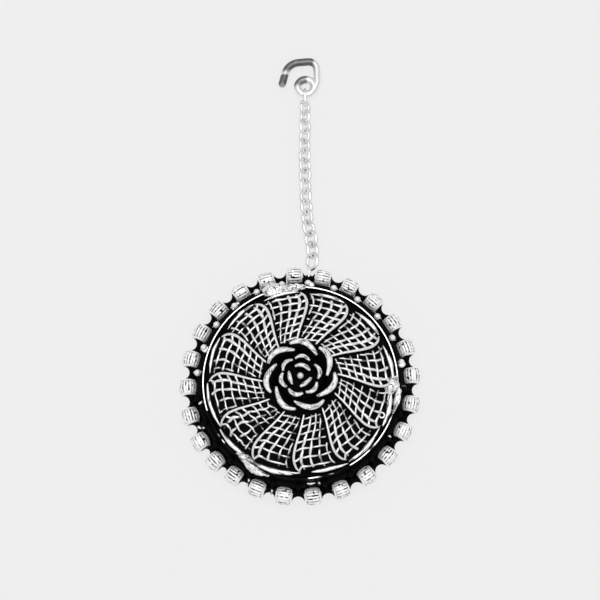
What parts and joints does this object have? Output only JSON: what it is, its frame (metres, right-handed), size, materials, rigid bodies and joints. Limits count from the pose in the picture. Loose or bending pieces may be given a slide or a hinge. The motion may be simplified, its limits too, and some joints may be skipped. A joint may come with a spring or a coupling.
{
  "type": "maang tikka",
  "caption": "Round domed forehead jewel with a beaded border, woven filigree pinwheel and raised rose, on a short cable chain with an open hair hook.",
  "frame": {"origin": "centre of the pendant's flat back, on the surface it lies on", "axes": "+Y along the chain from the pendant to the hook, the longest extent; +Z out of the pendant's face, the shortest extent; +X to the viewer's right"},
  "size_m": [0.0398, 0.0774, 0.0112],
  "materials": {
    "blackened_silver": "silver-coloured metal blackened all over, satin",
    "antique_silver": "silver-coloured metal, black in its recesses and rubbed bright on its high points",
    "bright_silver": "bright silver-coloured metal, polished"
  },
  "bodies": {
    "root": {"tray": "blackened_silver", "granule_ring": "blackened_silver", "bezel_ring": "antique_silver", "filigree_dome": "antique_silver", "rose": "antique_silver", "claw_top": "bright_silver", "claw_right": "bright_silver", "claw_lower_left": "bright_silver", "chain": "bright_silver", "hook": "bright_silver", "bead_01": "antique_silver", "bead_02": "antique_silver", "bead_03": "antique_silver", "bead_04": "antique_silver", "bead_05": "antique_silver", "bead_06": "antique_silver", "bead_07": "antique_silver", "bead_08": "antique_silver", "bead_09": "antique_silver", "bead_10": "antique_silver", "bead_11": "antique_silver", "bead_12": "antique_silver", "bead_13": "antique_silver", "bead_14": "antique_silver", "bead_15": "antique_silver", "bead_16": "antique_silver", "bead_17": "antique_silver", "bead_18": "antique_silver", "bead_19": "antique_silver", "bead_20": "antique_silver", "bead_21": "antique_silver", "bead_22": "antique_silver", "bead_23": "antique_silver", "bead_24": "antique_silver", "bead_25": "antique_silver"}
  },
  "joints": []
}
